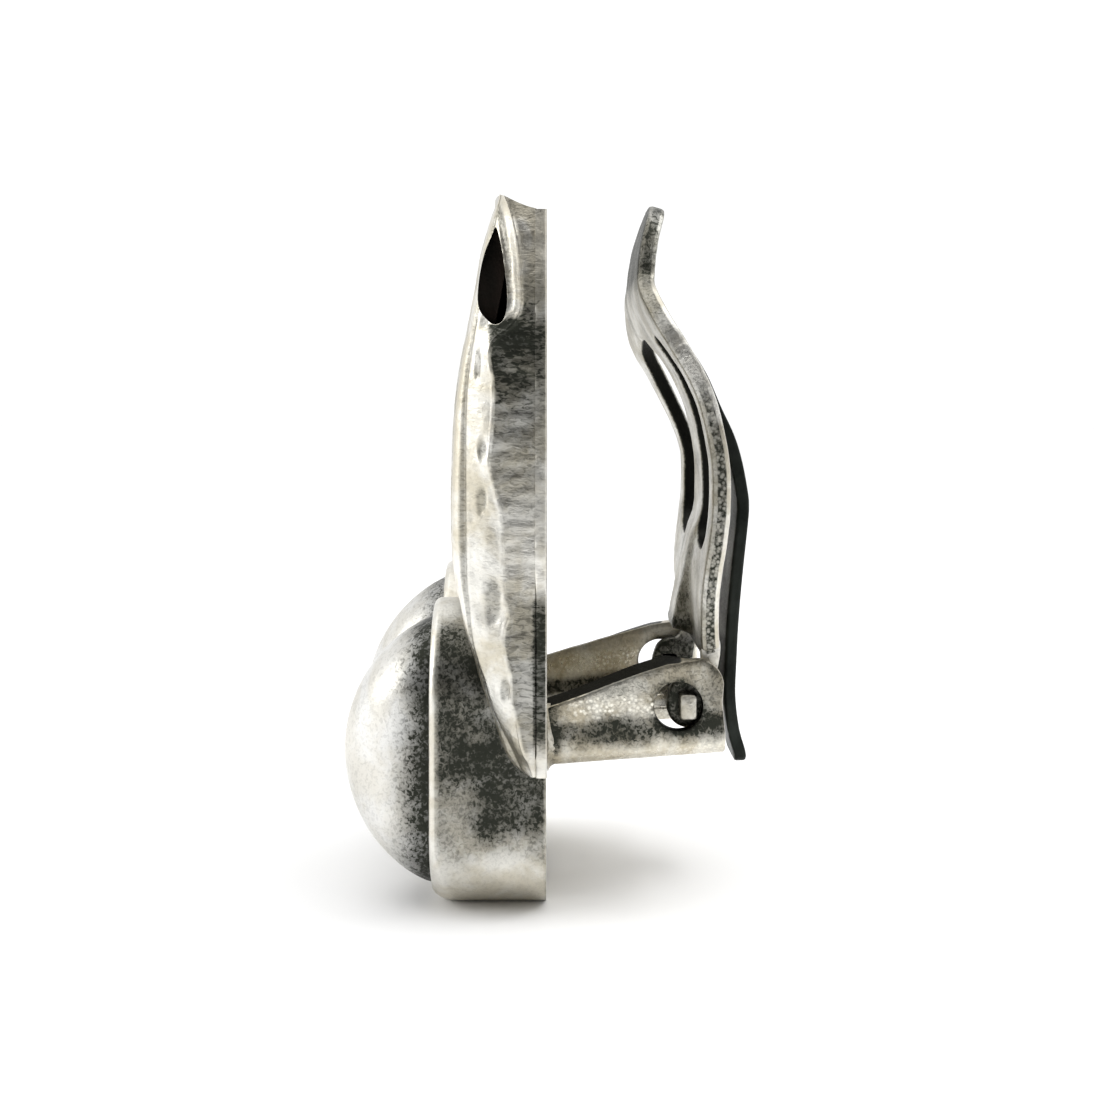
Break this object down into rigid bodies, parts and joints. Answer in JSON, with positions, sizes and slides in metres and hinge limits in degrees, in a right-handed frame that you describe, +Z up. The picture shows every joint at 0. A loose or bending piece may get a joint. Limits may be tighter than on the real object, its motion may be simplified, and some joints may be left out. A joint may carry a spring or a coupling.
{
  "type": "clip on earring",
  "caption": "Silver-toned clip-on earring: a hollow hammered panel over side-by-side oval domes in deep collars, with a sprung paddle clip hinged in a bracket behind it.",
  "frame": {"origin": "centre of the footprint's box, on the surface that the earring stands on", "axes": "+Z up from the lobes to the top of the panel; the ornament faces -Y and the clip is on the +Y side; X is the width"},
  "size_m": [0.0126, 0.0126, 0.0212],
  "materials": {
    "setting": "satin silver, hammered and darkened in the hollows",
    "dome": "satin silver, smooth",
    "clip": "worn satin silver with a dark spring tongue"
  },
  "bodies": {
    "earring": {"setting": "setting", "dome_left": "dome", "dome_right": "dome"},
    "clip": {"clip_lever": "clip"}
  },
  "joints": [
    {"name": "clip_hinge", "type": "hinge", "parent": "earring", "child": "clip", "pos_m": [0, 0.00378, 0.00595], "axis": [-1, 0, 0], "range_deg": [0, 75]}
  ]
}
